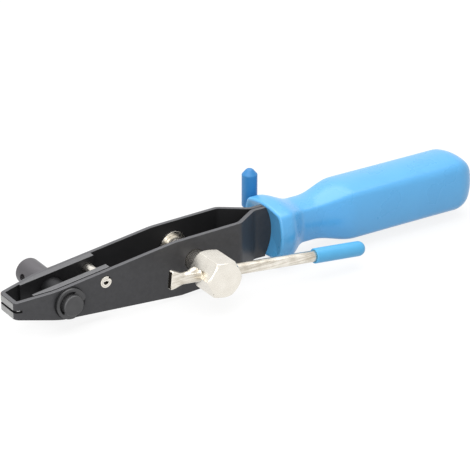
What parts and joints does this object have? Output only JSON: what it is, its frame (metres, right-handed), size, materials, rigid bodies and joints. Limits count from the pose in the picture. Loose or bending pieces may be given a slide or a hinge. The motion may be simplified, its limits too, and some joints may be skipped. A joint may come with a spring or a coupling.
{
  "type": "band clamp pliers",
  "caption": "Hand tool that winds a steel clamp band tight on a slotted spindle with a sliding bar and shears off its tail with a side lever.",
  "frame": {"origin": "on the winding spindle's axis, in the middle of the body's width", "axes": "+X along the handle towards its rear end, -X towards the nose, +Z towards the open top of the body, -Y towards the hexagon head"},
  "size_m": [0.2476, 0.0644, 0.0369],
  "materials": {
    "black_steel": "satin black oxide",
    "plate_steel": "blackened hardened steel",
    "tool_steel": "dark oiled tool steel",
    "nickel": "satin nickel plate",
    "blue_handle": "smooth moulded",
    "blue_dip": "soft dipped vinyl"
  },
  "bodies": {
    "frame": {"body_strip": "black_steel", "near_side_plate": "plate_steel", "far_side_plate": "plate_steel", "cutter_bush": "tool_steel", "roll_pin": "nickel", "handle": "blue_handle"},
    "spindle": {"winding_spindle": "nickel", "thrust_washer": "nickel", "journal_washer": "tool_steel", "spindle_ring": "tool_steel"},
    "bar": {"sliding_bar": "nickel", "sliding_bar_cap": "blue_dip"},
    "cutter": {"cutter_shaft": "tool_steel", "cutter_washer": "black_steel", "cutter_ring": "tool_steel", "knob_washer": "black_steel", "lever_rod": "nickel", "lever_pin": "tool_steel", "lever_cap": "blue_dip"}
  },
  "joints": [
    {"name": "spindle_turn", "type": "hinge", "parent": "frame", "child": "spindle", "pos_m": [0, 0, 0], "axis": [0, -1, 0], "continuous": true},
    {"name": "bar_slide", "type": "slide", "parent": "spindle", "child": "bar", "axis": [0.9945, 0, -0.1045], "range_m": [-0.044, 0.0021]},
    {"name": "cutter_turn", "type": "hinge", "parent": "frame", "child": "cutter", "pos_m": [-0.0638, 0, -0.004], "axis": [0, -1, 0], "range_deg": [0, 80]}
  ]
}
